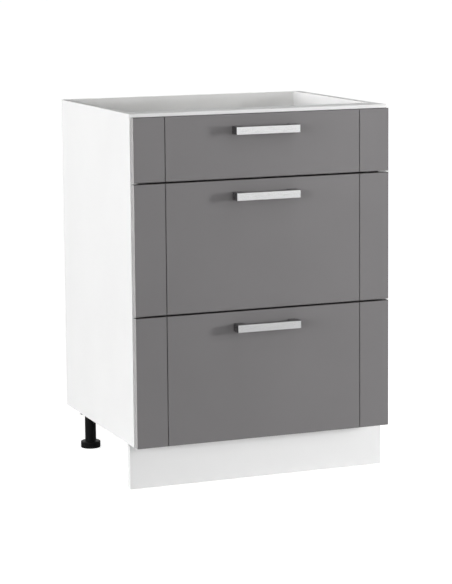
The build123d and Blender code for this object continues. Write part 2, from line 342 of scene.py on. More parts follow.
@dataclass(frozen=True)
class PinRows:
    """Flush pins in two upright rows near the side edges and in one row along the lower edge."""

    half_x: float
    low_z: float
    pitch: float = 0.09
    radius: float = 1.6 * MM
    steel: Colour = (0.55, 0.56, 0.58)
    polish: float = 0.4

    def heads(self, graph: Graph) -> Socket:
        """The places of the heads.

        Args:
            graph: The material that they are drawn in.

        Returns:
            1 on a head and 0 beside it.
        """
        upright = self._row(graph, graph.axis(2), graph.math("ABSOLUTE", graph.axis(0)), self.half_x)
        level = self._row(graph, graph.axis(0), graph.axis(2), self.low_z)
        return graph.math("MAXIMUM", upright, level)

    def _row(self, graph: Graph, along: Socket, across: Socket, place: float) -> Socket:
        """One row of heads.

        Args:
            graph: The material that it is drawn in.
            along: The axis that the row follows.
            across: The other axis.
            place: Where the row lies on the other axis.

        Returns:
            1 on a head and 0 beside it.
        """
        steps = graph.math("FRACT", graph.math("DIVIDE", along, self.pitch))
        run = graph.math("MULTIPLY", graph.math("SUBTRACT", steps, 0.5), self.pitch)
        side = graph.math("SUBTRACT", across, place)
        square = graph.math("ADD", graph.math("MULTIPLY", run, run), graph.math("MULTIPLY", side, side))
        return graph.ramp(graph.math("SQRT", square), self.radius * 0.85, self.radius, 1.0, 0.0)


@dataclass(frozen=True)
class GreyFoil:
    """Warm grey satin foil on a drawer front, with paler ends, a white back, and painted shade: darkened top
    and bottom edges and darkened grooves.
    """

    grey: Colour = (0.193, 0.187, 0.190)
    end: Colour = (0.43, 0.42, 0.42)
    # Painted shade: the colour of the faces that look up or down, darkened for the shade in the gaps between
    # the fronts and on the top edge.
    edge: Colour = (0.070, 0.068, 0.069)
    # Painted shade: the same foil, darkened inside the grooves.
    groove_shade: Colour = (0.170, 0.165, 0.167)
    back: Colour = (0.84, 0.84, 0.84)
    roughness: float = 0.505
    sway: float = 0.045
    specular: float = 0.25
    groove_depth: tuple[float, float] = (0.2 * MM, 0.8 * MM)
    groove_half_width: tuple[float, float] = (1.4 * MM, 1.8 * MM)

    def material(self, name: str, face_y: float, groove_x: float) -> Material:
        """Make the foil's material.

        Args:
            name: Name of the material.
            face_y: Place of the front face.
            groove_x: Distance of the two grooves from the middle.

        Returns:
            The material.
        """
        graph = Graph(name, self.roughness, specular=self.specular)
        cloud = graph.noise(5.0, detail=3.0)
        colour = graph.mix(graph.ramp(cloud, 0.3, 0.7), self.grey, tinted(self.grey, 1.035))
        ends = graph.math("ABSOLUTE", graph.facing((1, 0, 0)))
        colour = graph.mix(graph.ramp(ends, 0.75, 0.9), colour, self.end)
        # Painted shade: the faces that look up or down take the dark edge colour.
        edges = graph.math("ABSOLUTE", graph.facing((0, 0, 1)))
        colour = graph.mix(graph.ramp(edges, 0.5, 0.8), colour, self.edge)
        # Painted shade: the floor and walls of the two grooves take the darker groove colour.
        off = graph.math("ABSOLUTE", graph.math("SUBTRACT", graph.math("ABSOLUTE", graph.axis(0)), groove_x))
        deep = graph.ramp(graph.axis(1), *(face_y + depth for depth in self.groove_depth))
        inside = graph.math("MULTIPLY", deep, graph.ramp(off, *self.groove_half_width, 1.0, 0.0))
        colour = graph.mix(inside, colour, self.groove_shade)
        colour = graph.mix(graph.ramp(graph.facing((0, 1, 0)), 0.6, 0.8), colour, self.back)
        graph.relief(graph.noise(2200.0), strength=0.10, depth=0.03 * MM)
        return graph.finish(colour, graph.uneven(graph.noise(40.0), self.roughness, self.sway))


@dataclass(frozen=True)
class SatinHandle:
    """Drawn satin metal bar with a bright face, and painted shade on the rest: darkened ends and underside
    and a darker top edge, standing in for the shade and dark reflections there.
    """

    face: Colour = (0.86, 0.86, 0.865)
    # Painted shade: the same satin metal, darkened on the ends and underside.
    body: Colour = (0.29, 0.285, 0.29)
    # Painted shade: the same metal, darker still on the top faces.
    top: Colour = (0.16, 0.158, 0.16)
    roughness: float = 0.26
    sway: float = 0.04
    streaks: Point = (0.02, 1.0, 1.0)

    def material(self, name: str) -> Material:
        """Make the handle's material.

        Args:
            name: Name of the material.

        Returns:
            The material.
        """
        graph = Graph(name, self.roughness, metallic=1.0)
        streaks = graph.noise(2600.0, detail=3.0, stretch=self.streaks)
        drawn = graph.mix(graph.ramp(streaks, 0.35, 0.65), self.face, tinted(self.face, 0.94))
        # Painted shade: all faces but the front take the darkened body colour, and those that look up the
        # darker top colour.
        front = graph.ramp(graph.facing((0, -1, 0)), 0.4, 0.6)
        colour = graph.mix(front, self.body, drawn)
        colour = graph.mix(graph.ramp(graph.facing((0, 0, 1)), 0.3, 0.5), colour, self.top)
        graph.relief(streaks, strength=0.15, depth=0.02 * MM)
        return graph.finish(colour, graph.uneven(streaks, self.roughness, self.sway))


@dataclass(frozen=True)
class Moulded:
    """Moulded plastic with a fine spark-eroded texture."""

    colour: Colour = (0.004, 0.004, 0.0045)
    roughness: float = 0.50
    sway: float = 0.05
    specular: float = 0.15

    def material(self, name: str) -> Material:
        """Make the plastic's material.

        Args:
            name: Name of the material.

        Returns:
            The material.
        """
        graph = Graph(name, self.roughness, specular=self.specular)
        pale = tinted(self.colour, 1.15, lift=0.001)
        colour = graph.mix(graph.ramp(graph.noise(90.0), 0.3, 0.7), self.colour, pale)
        graph.relief(graph.noise(2500.0), strength=0.25, depth=0.04 * MM)
        return graph.finish(colour, graph.uneven(graph.noise(300.0), self.roughness, self.sway))


@dataclass(frozen=True)
class ZincSteel:
    """Bright zinc-plated steel, with faint streaks along the way it was rolled."""

    bright: Colour = (0.62, 0.63, 0.65)
    dull: Colour = (0.54, 0.55, 0.57)
    streaks: Point = (1.0, 0.02, 1.0)
    smoothest: float = 0.30
    roughest: float = 0.38

    def material(self, name: str) -> Material:
        """Make the steel's material.

        Args:
            name: Name of the material.

        Returns:
            The material.
        """
        graph = Graph(name, self.smoothest, metallic=1.0)
        mottle = graph.noise(60.0, detail=1.0)
        rolled = graph.noise(900.0, detail=1.0, stretch=self.streaks)
        tone = graph.math("MULTIPLY", graph.math("ADD", mottle, rolled), 0.5)
        colour = graph.mix(graph.ramp(tone, 0.3, 0.7), self.dull, self.bright)
        graph.relief(rolled, strength=0.05, depth=0.01 * MM)
        return graph.finish(colour, graph.ramp(mottle, 0.3, 0.7, self.smoothest, self.roughest))


@dataclass(frozen=True)
class Beech:
    """Beech dowel with lengthwise grain along X and small flecks."""

    pale: Colour = (0.62, 0.44, 0.27)
    dark: Colour = (0.45, 0.29, 0.16)
    grain: Point = (0.08, 1.0, 1.0)
    roughness: float = 0.6
    specular: float = 0.3

    def material(self, name: str) -> Material:
        """Make the wood's material.

        Args:
            name: Name of the material.

        Returns:
            The material.
        """
        graph = Graph(name, self.roughness, specular=self.specular)
        grain = graph.noise(900.0, detail=3.0, stretch=self.grain)
        graph.relief(grain, strength=0.3, depth=0.1 * MM)
        return graph.finish(graph.mix(graph.ramp(grain, 0.35, 0.65), self.pale, self.dark))


class Finishes:
    """The materials that several parts share."""

    def __init__(self) -> None:
        """Make each material once."""
        self.black = Moulded().material("black_plastic")
        self.cage = Moulded((0.66, 0.66, 0.63), roughness=0.4).material("cage_nylon")
        self.pad = Moulded((0.60, 0.60, 0.60), roughness=0.3).material("soft_pad")
        self.zinc = ZincSteel().material("zinc_plate")
        self.polished = ZincSteel((0.70, 0.70, 0.71), (0.62, 0.62, 0.63), (1, 1, 1)).material("ball_steel")
        self.beech = Beech().material("beech")
        self.handle = SatinHandle().material("satin_handle")


# ------------------------------------------------------------------ modelling


class Bench:
    """Calls that start, shape, copy and join pieces, as by hand."""

    @staticmethod
    def clear() -> None:
        """Leave edit mode and select nothing."""
        if bpy.context.object is not None and bpy.context.object.mode != "OBJECT":
            bpy.ops.object.mode_set(mode="OBJECT")
        bpy.ops.object.select_all(action="DESELECT")

    @staticmethod
    def hold(piece: Piece) -> None:
        """Select one piece alone and make it active.

        Args:
            piece: The object.
        """
        Bench.clear()
        piece.select_set(True)
        bpy.context.view_layer.objects.active = piece

    @staticmethod
    def start(primitive: Callable[..., set], **settings: object) -> Piece:
        """Add a primitive on its own.

        Args:
            primitive: The operator that adds it.
            **settings: The operator's settings.

        Returns:
            The new object, selected and active.
        """
        Bench.clear()
        primitive(**settings)
        return bpy.context.object

    @staticmethod
    def pick(piece: Piece, mode: str, test: Callable[[object], bool]) -> None:
        """Enter edit mode and select the faces or edges that pass a test.

        Args:
            piece: The object.
            mode: FACE or EDGE.
            test: What a face or an edge has to pass.
        """
        if piece.mode != "EDIT":
            bpy.ops.object.mode_set(mode="EDIT")
        bpy.ops.mesh.select_mode(type=mode)
        bpy.ops.mesh.select_all(action="DESELECT")
        mesh = bmesh.from_edit_mesh(piece.data)
        for item in mesh.faces if mode == "FACE" else mesh.edges:
            if test(item):
                item.select_set(True)
        mesh.select_flush_mode()
        bmesh.update_edit_mesh(piece.data)

    @staticmethod
    def raise_faces(height: float) -> None:
        """Extrude the selected faces up along Z, or down where the height is negative."""
        bpy.ops.mesh.extrude_region_move(TRANSFORM_OT_translate={"value": (0, 0, height)})

    @staticmethod
    def settle(piece: Piece, name: str, smooth: float = 40.0) -> Piece:
        """Leave edit mode, put the place into the mesh, and shade the round parts smooth.

        Args:
            piece: The object.
            name: Its new name.
            smooth: Largest angle in degrees that is shaded smooth.

        Returns:
            The same object.
        """
        Bench.hold(piece)
        bpy.ops.object.transform_apply(location=True, rotation=True, scale=True)
        bpy.ops.object.shade_smooth_by_angle(angle=math.radians(smooth))
        piece.name = name
        piece.data.name = name
        return piece

    @staticmethod
    def apply(piece: Piece, kind: str, **settings: object) -> None:
        """Add a modifier and apply it.

        Args:
            piece: The object.
            kind: Type of the modifier.
            **settings: The modifier's settings.
        """
        Bench.hold(piece)
        modifier = piece.modifiers.new(kind.title(), kind)
        for key, value in settings.items():
            setattr(modifier, key, value)
        bpy.ops.object.modifier_apply(modifier=modifier.name)

    @staticmethod
    def join(pieces: Sequence[Piece], name: str) -> Piece:
        """Join pieces into one.

        Args:
            pieces: The pieces.
            name: Name of the joined piece.

        Returns:
            The joined piece.
        """
        Bench.hold(pieces[0])
        for piece in pieces[1:]:
            piece.select_set(True)
        if len(pieces) > 1:
            bpy.ops.object.join()
        pieces[0].name = name
        pieces[0].data.name = name
        return pieces[0]

    @staticmethod
    def copies(model: Piece, name: str, spots: Iterable[Spot]) -> Piece:
        """Copy a model that stands up along +Z at the origin to several spots.

        Args:
            model: The model, which is deleted after it is copied.
            name: Name of the joined copies.
            spots: For each copy, its place and the direction that +Z turns to.

        Returns:
            The copies as one object.
        """
        made = []
        for place, direction in spots:
            copy = model.copy()
            copy.data = model.data.copy()
            turn = Vector((0, 0, 1)).rotation_difference(Vector(direction)).to_matrix().to_4x4()
            copy.data.transform(Matrix.Translation(place) @ turn)
            bpy.context.scene.collection.objects.link(copy)
            made.append(copy)
        bpy.data.objects.remove(model)
        return Bench.join(made, name)


def hand_over(piece: Piece, body: str, material: Material) -> None:
    """Dress a finished piece, and make it ride on a body.

    Args:
        piece: The piece, in place.
        body: Body that it moves with.
        material: Its material.
    """
    piece.data.materials.clear()
    piece.data.materials.append(material)
    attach(piece, body)
    log.info("%s rides on %s, %d faces", piece.name, body, len(piece.data.polygons))


def dress(node: str, material: Material) -> None:
    """Give a node of the frame its material."""
    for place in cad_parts[node].material_slots:
        place.material = material


@dataclass(frozen=True)
class ScrewHead:
    """A screw head that stands up from z = 0 at the origin, with a cross recess.

    The rounding, the chamfer and the recess's height are shares of the head's height. The length of
    the recess is a share of the radius, its width is a share of that length, and it narrows towards
    its bottom by its taper.
    """

    form: HeadForm
    radius: float
    height: float
    corners: int = 20
    rounding: float = 0.6
    chamfer: float = 0.4
    recess_length: float = 1.1
    recess_width: float = 0.22
    recess_height: float = 1.2
    recess_taper: float = 0.7

    def model(self) -> Piece:
        """Model the head once.

        Returns:
            The head, to be copied to its places.
        """
        top = self.height / 2
        head = Bench.start(bpy.ops.mesh.primitive_cylinder_add, vertices=self.corners, radius=self.radius,
                           depth=self.height, location=(0, 0, top))
        Bench.pick(head, "EDGE", lambda e: all(v.co.z > top * 0.9 for v in e.verts))
        share, segments = (self.rounding, 3) if self.form is HeadForm.PAN else (self.chamfer, 1)
        bpy.ops.mesh.bevel(offset=self.height * share, segments=segments, affect="EDGES")
        Bench.settle(head, "screw_head")
        arm = self.radius * self.recess_length
        for size in ((arm, arm * self.recess_width), (arm * self.recess_width, arm)):
            cutter = Bench.start(bpy.ops.mesh.primitive_cube_add, size=1.0, location=(0, 0, self.height))
            cutter.scale = (*size, self.height * self.recess_height)
            Bench.pick(cutter, "FACE", lambda f: f.normal.z < -0.9)
            bpy.ops.transform.resize(value=(self.recess_taper, self.recess_taper, 1.0))
            Bench.settle(cutter, "recess_cutter")
            Bench.apply(head, "BOOLEAN", operation="DIFFERENCE", object=cutter, solver="EXACT")
            bpy.data.objects.remove(cutter)
        return Bench.settle(head, "screw_head")

    def drive(self, name: str, spots: Iterable[Spot], body: str, material: Material) -> None:
        """Put screws of this kind in place."""
        hand_over(Bench.copies(self.model(), name, spots), body, material)


# ------------------------------------------------------------------ the cabinet's parts


@dataclass
class Carcass:
    """The standing boards, their finish, and the fittings that are fixed to them."""

    finishes: Finishes
    board: Melamine = field(default_factory=Melamine)
    hardboard: Hardboard = field(default_factory=Hardboard)
    pin_inset: float = 4.0 * MM
    pin_rise: float = 8.0 * MM
    leg_plate: float = 54.0 * MM
    leg_plate_thickness: float = 3.0 * MM
    plate_screw: ScrewHead = ScrewHead(HeadForm.PAN, 3.6 * MM, 1.8 * MM)
    plate_screw_inset: float = 19.0 * MM

    def build(self) -> None:
        """Dress the boards and fix the legs."""
        self.dress_boards()
        self.dress_back()
        dress("wooden_dowels", self.finishes.beech)
        for node in ("plinth_clips", "legs"):
            dress(node, self.finishes.black)
        self.leg_screws()

    def dress_boards(self) -> None:
        """White board on the sides, bottom, rail and plinth, with bare rear edges."""
        band = self.board.band
        for node in ("left_side_panel", "right_side_panel", "bottom_panel", "front_top_rail"):
            low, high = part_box(node)
            seams = [(1, low.y + band)]
            if "side" in node:
                seams += [(2, high.z - band), (2, low.z + band)]
            dress(node, self.board.material(node + "_melamine", raw=((0, 1, 0),), seams=seams))
        low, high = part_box("plinth_panel")
        seams = ((2, high.z - band), (0, low.x + band), (0, high.x - band))
        dress("plinth_panel", self.board.material("plinth_melamine", raw=((0, 0, -1),), seams=seams))

    def dress_back(self) -> None:
        """Hardboard with its brown face outside, pinned along its edges."""
        low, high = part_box("back_panel")
        pins = PinRows(half_x=high.x - self.pin_inset, low_z=low.z + self.pin_rise)
        dress("back_panel", self.hardboard.material("back_hardboard", bare=(0, 1, 0), pins=pins))

    def leg_screws(self) -> None:
        """Four screws up through each leg plate."""
        low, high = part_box("legs")
        half, inset = self.leg_plate / 2, self.plate_screw_inset
        under = high.z - self.leg_plate_thickness
        spots = []
        for x in (low.x + half, high.x - half):
            for y in (low.y + half, high.y - half):
                for dx in (-inset, inset):
                    for dy in (-inset, inset):
                        spots.append(((x + dx, y + dy, under), (0, 0, -1)))
        self.plate_screw.drive("leg_plate_screws", spots, "carcass", self.finishes.zinc)


@dataclass
class Foot:
    """One adjustable foot: a disc with rounded edges on a threaded stem."""

    finishes: Finishes
    place: str
    disc_height: float = 15.0 * MM
    stem_root: float = 8.3 * MM
    crest: float = 9.0 * MM
    pitch: float = 3.0 * MM
    ridge_half_height: float = 1.3 * MM
    ridge_root: float = 0.3 * MM
    rim: float = 1.2 * MM
    collar: float = 2.0 * MM
    collar_rise: float = 1.0 * MM
    tip_chamfer: float = 1.0 * MM
    sole_rim: float = 3.0 * MM
    sole_depth: float = 1.2 * MM
    corners: int = 48
    turn_steps: int = 24
    weld: float = 0.01 * MM

    def build(self) -> None:
        """Model the foot in place of the plain one and let it ride on its own body."""
        node = f"{self.place}_foot"
        low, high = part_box(node)
        centre = (low + high) / 2
        parts = [self.disc(low, high, centre), self.thread(centre, high.z)]
        foot = Bench.join(parts, f"{self.place}_screw_foot")
        Bench.settle(foot, foot.name, smooth=35.0)
        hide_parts(node)
        hand_over(foot, node, self.finishes.black)

    def disc(self, low: Vector, high: Vector, centre: Vector) -> Piece:
        """The disc and the smooth core of the stem, from one cylinder.

        Args:
            low: Lowest corner of the plain foot.
            high: Highest corner of the plain foot.
            centre: Middle of the plain foot.

        Returns:
            The closed body of the foot.
        """
        radius = (high.x - low.x) / 2
        half = self.disc_height / 2
        body = Bench.start(bpy.ops.mesh.primitive_cylinder_add, vertices=self.corners, radius=radius,
                           depth=self.disc_height, location=(centre.x, centre.y, low.z + half))
        Bench.pick(body, "EDGE", lambda e: all(abs(v.co.z) > half * 0.9 for v in e.verts)
                   and abs(e.verts[0].co.z - e.verts[1].co.z) < half)
        bpy.ops.mesh.bevel(offset=self.rim, segments=3, affect="EDGES")
        Bench.pick(body, "FACE", lambda f: f.normal.z > 0.99)
        bpy.ops.mesh.inset(thickness=radius - self.rim - self.stem_root - self.collar, depth=0.0)
        bpy.ops.mesh.inset(thickness=self.collar, depth=self.collar_rise)
        Bench.raise_faces(high.z - low.z - self.disc_height - self.collar_rise - self.tip_chamfer)
        bpy.ops.mesh.inset(thickness=self.tip_chamfer, depth=self.tip_chamfer)
        Bench.pick(body, "FACE", lambda f: f.normal.z < -0.99)
        bpy.ops.mesh.inset(thickness=self.sole_rim, depth=0.0)
        Bench.raise_faces(self.sole_depth)
        return Bench.settle(body, "foot_body")

    def thread(self, centre: Vector, top: float) -> Piece:
        """The ridge of the thread, a triangle wound up round the stem.

        Args:
            centre: Middle of the foot.
            top: Highest point of the stem.

        Returns:
            The closed ridge.
        """
        start = self.disc_height + self.pitch
        turns = int((top - start - 2 * self.tip_chamfer) / self.pitch)
        ridge = Bench.start(bpy.ops.mesh.primitive_circle_add, vertices=3, radius=1.0, fill_type="NOTHING")
        root, half = self.stem_root - self.ridge_root, self.ridge_half_height
        corners = ((root, -half), (self.crest, 0.0), (root, half))
        for vertex, (radius, height) in zip(ridge.data.vertices, corners):
            vertex.co = (radius, 0.0, height)
        Bench.apply(ridge, "SCREW", angle=2 * math.pi, screw_offset=self.pitch, iterations=turns,
                    steps=self.turn_steps, render_steps=self.turn_steps, axis="Z")
        Bench.pick(ridge, "EDGE", lambda e: e.is_boundary)
        bpy.ops.mesh.fill_holes(sides=4)
        bpy.ops.mesh.select_all(action="SELECT")
        bpy.ops.mesh.remove_doubles(threshold=self.weld)
        bpy.ops.mesh.normals_make_consistent(inside=False)
        Bench.clear()
        ridge.location = (centre.x, centre.y, start)
        return Bench.settle(ridge, "foot_thread")


@dataclass
class Runner:
    """The two telescopic runners of one drawer: balls, screws and release levers."""

    finishes: Finishes
    drawer: str
    ball_radius: float = 2.1 * MM
    pockets: int = 4
    row_inset: float = 1.45 * MM
    cage_width: float = 5.7 * MM
    outer_tip_inset: float = 2.1 * MM
    inner_tip_inset: float = 1.8 * MM
    sheet: float = 1.2 * MM
    screw_inset: float = 40.0 * MM
    drawer_screw_shares: tuple[float, ...] = (0.22, 0.5, 0.93)
    lever_length: float = 62.0 * MM
    lever_width: float = 8.0 * MM
    lever_thickness: float = 2.4 * MM
    lever_centre: float = 0.62
    lever_rounding: float = 0.3 * MM
    tab_rise: float = 1.4 * MM
    tab_rim: float = 0.8 * MM
    tab_groove: float = 0.5 * MM
    flat_screw: ScrewHead = ScrewHead(HeadForm.FLAT, 3.6 * MM, 0.2 * MM)
    pan_screw: ScrewHead = ScrewHead(HeadForm.PAN, 3.6 * MM, 1.8 * MM)

    @property
    def web(self) -> float:
        """Distance of the drawer rail's inner face from the cabinet's middle."""
        return abs(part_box(f"{self.drawer}_box_left_side")[0].x) + self.sheet

    def build(self) -> None:
        """Dress the rails and cages and add what is too small for the frame."""
        for rail in ("cabinet_rails", "middle_rails", "drawer_rails"):
            dress(f"{self.drawer}_{rail}", self.finishes.zinc)
        for cage, inset in (("outer", self.outer_tip_inset), ("inner", self.inner_tip_inset)):
            dress(f"{self.drawer}_{cage}_ball_cages", self.finishes.cage)
            self.balls(cage, inset)
        self.cabinet_screws()
        self.drawer_screws()
        self.levers()

    def balls(self, cage: str, tip_inset: float) -> None:
        """A ball in each pocket of the left and the right cage.

        Args:
            cage: outer or inner.
            tip_inset: How far the balls' middle lies from the cage's open edge.
        """
        low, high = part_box(f"{self.drawer}_{cage}_ball_cages")
        pitch = (high.y - low.y) / self.pockets
        half = abs(low.x) - self.cage_width + tip_inset
        spots = []
        for side in Side:
            for row in (low.z + self.row_inset, high.z - self.row_inset):
                for index in range(self.pockets):
                    place = (side.value * half, low.y + pitch * (index + 0.5), row)
                    spots.append((place, (0, 0, 1)))
        ball = Bench.start(bpy.ops.mesh.primitive_ico_sphere_add, subdivisions=2, radius=self.ball_radius)
        Bench.pick(ball, "FACE", lambda f: True)
        bpy.ops.transform.tosphere(value=1.0)
        Bench.settle(ball, "ball", smooth=60.0)
        balls = Bench.copies(ball, f"{self.drawer}_{cage}_runner_balls", spots)
        hand_over(balls, f"{self.drawer}_{cage}_cage", self.finishes.polished)

    def cabinet_screws(self) -> None:
        """Flush screws in the web of each cabinet rail, behind the holes of the middle rail."""
        low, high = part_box(f"{self.drawer}_cabinet_rails")
        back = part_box(f"{self.drawer}_middle_rails")[1].y
        middle = (low.z + high.z) / 2
        spots = [((side.value * (high.x - self.sheet), y, middle), (-side.value, 0, 0))
                 for side in Side for y in (low.y + self.screw_inset, back - self.screw_inset)]
        self.flat_screw.drive(f"{self.drawer}_cabinet_rail_screws", spots, "carcass", self.finishes.zinc)

    def drawer_screws(self) -> None:
        """Pan-head screws inside each drawer rail, into the side of the drawer."""
        low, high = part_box(f"{self.drawer}_drawer_rails")
        middle = (low.z + high.z) / 2
        spots = [((side.value * self.web, low.y + (high.y - low.y) * share, middle), (side.value, 0, 0))
                 for side in Side for share in self.drawer_screw_shares]
        self.pan_screw.drive(f"{self.drawer}_drawer_rail_screws", spots, f"{self.drawer}_drawer",
                             self.finishes.zinc)

    def levers(self) -> None:
        """A springy release lever in the front of each drawer rail, with a ribbed thumb tab."""
        low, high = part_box(f"{self.drawer}_drawer_rails")
        middle = (low.z + high.z) / 2
        lever = Bench.start(bpy.ops.mesh.primitive_cube_add, size=1.0,
                            location=(0, 0, self.lever_thickness / 2))
        lever.scale = (self.lever_width, self.lever_length, self.lever_thickness)
        bpy.ops.object.transform_apply(location=True, rotation=False, scale=True)
        bpy.ops.object.mode_set(mode="EDIT")
        bpy.ops.mesh.subdivide(number_cuts=3)
        tab_end = -self.lever_length / 4
        Bench.pick(lever, "FACE", lambda f: f.normal.z > 0.9 and f.calc_center_median().y < tab_end)
        bpy.ops.mesh.inset(thickness=self.tab_rim, depth=0.0)
        Bench.raise_faces(self.tab_rise)
        bpy.ops.mesh.inset(thickness=self.tab_groove, depth=-self.tab_groove, use_individual=True)
        Bench.settle(lever, "lever", smooth=20.0)
        Bench.apply(lever, "BEVEL", width=self.lever_rounding, segments=2, limit_method="ANGLE")
        y = low.y + self.lever_length * self.lever_centre
        spots = [((side.value * self.web, y, middle), (side.value, 0, 0)) for side in Side]
        levers = Bench.copies(lever, f"{self.drawer}_release_levers", spots)
        hand_over(levers, f"{self.drawer}_drawer", self.finishes.black)


@dataclass
class Drawer:
    """One drawer: front, handle, box, and the fasteners that hold them together.

    The rows of screws are shares of a board's height, and a box lower than the shallow height has
    fewer of them.
    """

    finishes: Finishes
    name: str
    board: Melamine = field(default_factory=Melamine)
    hardboard: Hardboard = field(default_factory=Hardboard)
    foil: GreyFoil = field(default_factory=GreyFoil)
    groove_inset: float = 71.0 * MM
    handle_spacing: float = 128.0 * MM
    handle_screw: ScrewHead = ScrewHead(HeadForm.PAN, 4.2 * MM, 2.4 * MM)
    front_screw: ScrewHead = ScrewHead(HeadForm.PAN, 3.8 * MM, 2.0 * MM)
    front_screw_shares: tuple[float, ...] = (0.12, 0.36, 0.64, 0.88)
    corner_screw: ScrewHead = ScrewHead(HeadForm.FLAT, 3.8 * MM, 0.25 * MM)
    corner_screw_inset: float = 6.0 * MM
    shallow: float = 100.0 * MM
    shallow_front_rows: tuple[float, ...] = (0.62,)
    deep_front_rows: tuple[float, ...] = (0.3, 0.82)
    shallow_corner_rows: tuple[float, ...] = (0.14, 0.86)
    deep_corner_rows: tuple[float, ...] = (0.08, 0.42, 0.9)
    pad_radius: float = 4.0 * MM
    pad_room: float = 0.1 * MM
    pad_inset: float = 24.0 * MM
    pad_rim: float = 0.6 * MM
    pad_dish: float = 0.3 * MM

    @property
    def body(self) -> str:
        """Name of the body that the drawer moves as."""
        return f"{self.name}_drawer"

    def build(self) -> None:
        """Dress the drawer and add its fasteners."""
        low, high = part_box(f"{self.name}_front")
        foil = self.foil.material(f"{self.name}_grey_foil", low.y, high.x - self.groove_inset)
        dress(f"{self.name}_front", foil)
        dress(f"{self.name}_handle", self.finishes.handle)
        self.dress_box()
        self.handle_screws()
        self.front_screws()
        self.corner_screws()
        self.bumpers()

    def dress_box(self) -> None:
        """White boards with banded top edges and a thin hardboard bottom."""
        for part in ("box_left_side", "box_right_side", "box_inner_front", "box_back"):
            node = f"{self.name}_{part}"
            seams = ((2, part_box(node)[1].z - self.board.band),)
            raw = ((0, 0, -1), (0, 1, 0)) if "side" in part else ((0, 0, -1),)
            dress(node, self.board.material(node + "_melamine", raw=raw, seams=seams))
        bottom = f"{self.name}_box_bottom"
        dress(bottom, self.hardboard.material(bottom + "_hardboard", bare=(0, 0, -1)))

    def handle_screws(self) -> None:
        """Two screws through the front into the ends of the handle."""
        low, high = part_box(f"{self.name}_handle")
        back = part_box(f"{self.name}_front")[1].y
        half = self.handle_spacing / 2
        spots = [((x, back, (low.z + high.z) / 2), (0, 1, 0)) for x in (-half, half)]
        self.handle_screw.drive(f"{self.name}_handle_screws", spots, self.body, self.finishes.zinc)

    def front_screws(self) -> None:
        """Screws through the inner front that hold the grey front."""
        low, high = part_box(f"{self.name}_box_inner_front")
        width, height = high.x - low.x, high.z - low.z
        rows = self.shallow_front_rows if height < self.shallow else self.deep_front_rows
        spots = [((low.x + width * share, high.y, low.z + height * row), (0, 1, 0))
                 for share in self.front_screw_shares for row in rows]
        self.front_screw.drive(f"{self.name}_front_fixing_screws", spots, self.body, self.finishes.zinc)

    def corner_screws(self) -> None:
        """Flush screws through the sides into the ends of the inner front and the back."""
        low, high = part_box(f"{self.name}_box_left_side")
        height = high.z - low.z
        rows = self.shallow_corner_rows if height < self.shallow else self.deep_corner_rows
        spots = [((side.value * abs(low.x), y, low.z + height * row), (side.value, 0, 0))
                 for side in Side
                 for y in (low.y + self.corner_screw_inset, high.y - self.corner_screw_inset)
                 for row in rows]
        self.corner_screw.drive(f"{self.name}_box_corner_screws", spots, self.body, self.finishes.zinc)

    def bumpers(self) -> None:
        """Soft pads on the back of the front, which meet the edges of the sides."""
        low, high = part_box(f"{self.name}_front")
        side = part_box("left_side_panel")
        middle = abs(side[0].x + side[1].x) / 2
        thickness = side[0].y - high.y - self.pad_room
        pad = Bench.start(bpy.ops.mesh.primitive_cylinder_add, vertices=24, radius=self.pad_radius,
                          depth=thickness, location=(0, 0, thickness / 2))
        Bench.pick(pad, "FACE", lambda f: f.normal.z > 0.9)
        bpy.ops.mesh.inset(thickness=self.pad_rim, depth=0.0)
        bpy.ops.mesh.inset(thickness=self.pad_rim, depth=-self.pad_dish)
        Bench.settle(pad, "bumper")
        spots = [((x, high.y, z), (0, 1, 0))
                 for x in (-middle, middle) for z in (low.z + self.pad_inset, high.z - self.pad_inset)]
        pads = Bench.copies(pad, f"{self.name}_bumpers", spots)
        hand_over(pads, self.body, self.finishes.pad)


# ------------------------------------------------------------------ studio


@dataclass(frozen=True)
class Lamp:
    """A soft square lamp that shines at a point."""

    name: str
    place: Point
    target: Point
    side: float
    watts: float

    def build(self) -> None:
        """Add the lamp to the scene."""
        data = bpy.data.lights.new(self.name, "AREA")
        data.size = self.side
        data.energy = self.watts
        lamp = bpy.data.objects.new(self.name, data)
        lamp.location = self.place
        lamp.visible_glossy = False
        lamp.rotation_euler = (Vector(self.target) - Vector(self.place)).to_track_quat("-Z", "Y").to_euler()
        bpy.context.scene.collection.objects.link(lamp)


@dataclass(frozen=True)
class Glow:
    """A wide soft light near the horizon, in one direction."""

    towards: tuple[float, float]
    strength: float
    top: float = 0.30
    softness: float = 0.10
    edge: tuple[float, float] = (0.57, 0.82)

    def strength_at(self, nodes: Nodes) -> Socket:
        """The strength of the glow for each direction of the world.

        Args:
            nodes: Nodes of the world.

        Returns:
            The strength.
        """
        sky = nodes.add("ShaderNodeTexCoord").outputs["Generated"]
        flat = nodes.add("ShaderNodeVectorMath", {0: sky, 1: (1.0, 1.0, 0.0)}, operation="MULTIPLY")
        unit = nodes.add("ShaderNodeVectorMath", {0: flat.outputs[0]}, operation="NORMALIZE")
        across = nodes.ramp(nodes.along(unit.outputs[0], (*self.towards, 0.0)), *self.edge)
        low, high = self.top - self.softness, self.top + self.softness
        rise = nodes.ramp(nodes.coordinate(sky, 2), low, high, 1.0, 0.0)
        return nodes.math("MULTIPLY", nodes.math("MULTIPLY", across, rise), self.strength)


